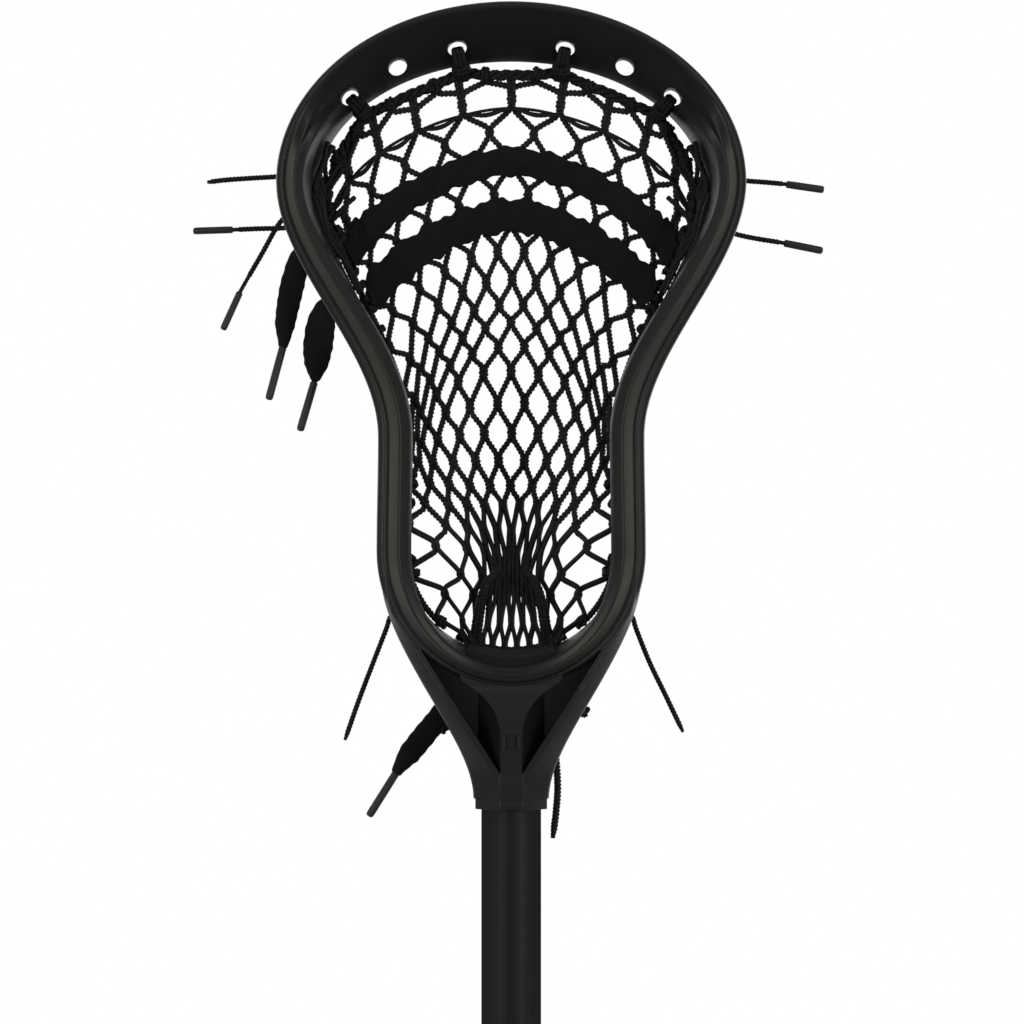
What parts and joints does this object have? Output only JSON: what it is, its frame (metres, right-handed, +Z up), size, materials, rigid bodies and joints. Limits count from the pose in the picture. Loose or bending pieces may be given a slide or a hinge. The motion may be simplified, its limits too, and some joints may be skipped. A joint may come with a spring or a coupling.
{
  "type": "lacrosse stick",
  "caption": "Lacrosse stick with a long octagonal shaft, an open scoop-shaped plastic head and a strung mesh pocket that catches, carries and throws the ball.",
  "frame": {"origin": "on the axis of the shaft, halfway along it, where the hands hold it", "axes": "+Z up the shaft to the scoop, +X to the right across the open face, -Y out of the open face"},
  "size_m": [0.2524, 0.0806, 1.036],
  "materials": {
    "head_plastic": "satin moulded nylon, near black with a green-grey cast",
    "pad_foam": "matt foam pad, near black",
    "shaft_alloy": "satin black anodised",
    "cap_rubber": "matt black",
    "screw_steel": "plain",
    "mesh_cord": "waxed black mesh, twisted strands",
    "string_cord": "braided black cord",
    "nylon_cord": "slick black doubled cord",
    "lace_cloth": "flat woven black lace",
    "aglet_plastic": "glossy black sleeve"
  },
  "bodies": {
    "stick": {"head_frame": "head_plastic", "ball_stop": "pad_foam", "shaft": "shaft_alloy", "head_screw": "screw_steel", "mesh_pocket": "mesh_cord", "top_string": "string_cord", "top_string_loops": "string_cord", "side_string_left": "string_cord", "side_string_right": "string_cord", "shooting_lace_upper": "lace_cloth", "shooting_lace_lower": "lace_cloth", "shooting_cord": "nylon_cord", "bottom_lace": "lace_cloth", "tail_left_upper": "string_cord", "tail_left_middle": "string_cord", "tail_left_slant": "string_cord", "tail_right_upper": "string_cord", "tail_right_middle": "string_cord", "tail_throat_left": "string_cord", "tail_throat_right": "string_cord", "tail_shaft": "string_cord", "lace_tail_upper": "lace_cloth", "lace_tail_lower": "lace_cloth", "lace_tail_bottom": "lace_cloth", "string_aglets": "aglet_plastic", "lace_aglets": "aglet_plastic"},
    "cap": {"end_cap": "cap_rubber"}
  },
  "joints": [
    {"name": "cap_pull", "type": "slide", "parent": "stick", "child": "cap", "axis": [0, 0, -1], "range_m": [0, 0.045]}
  ]
}
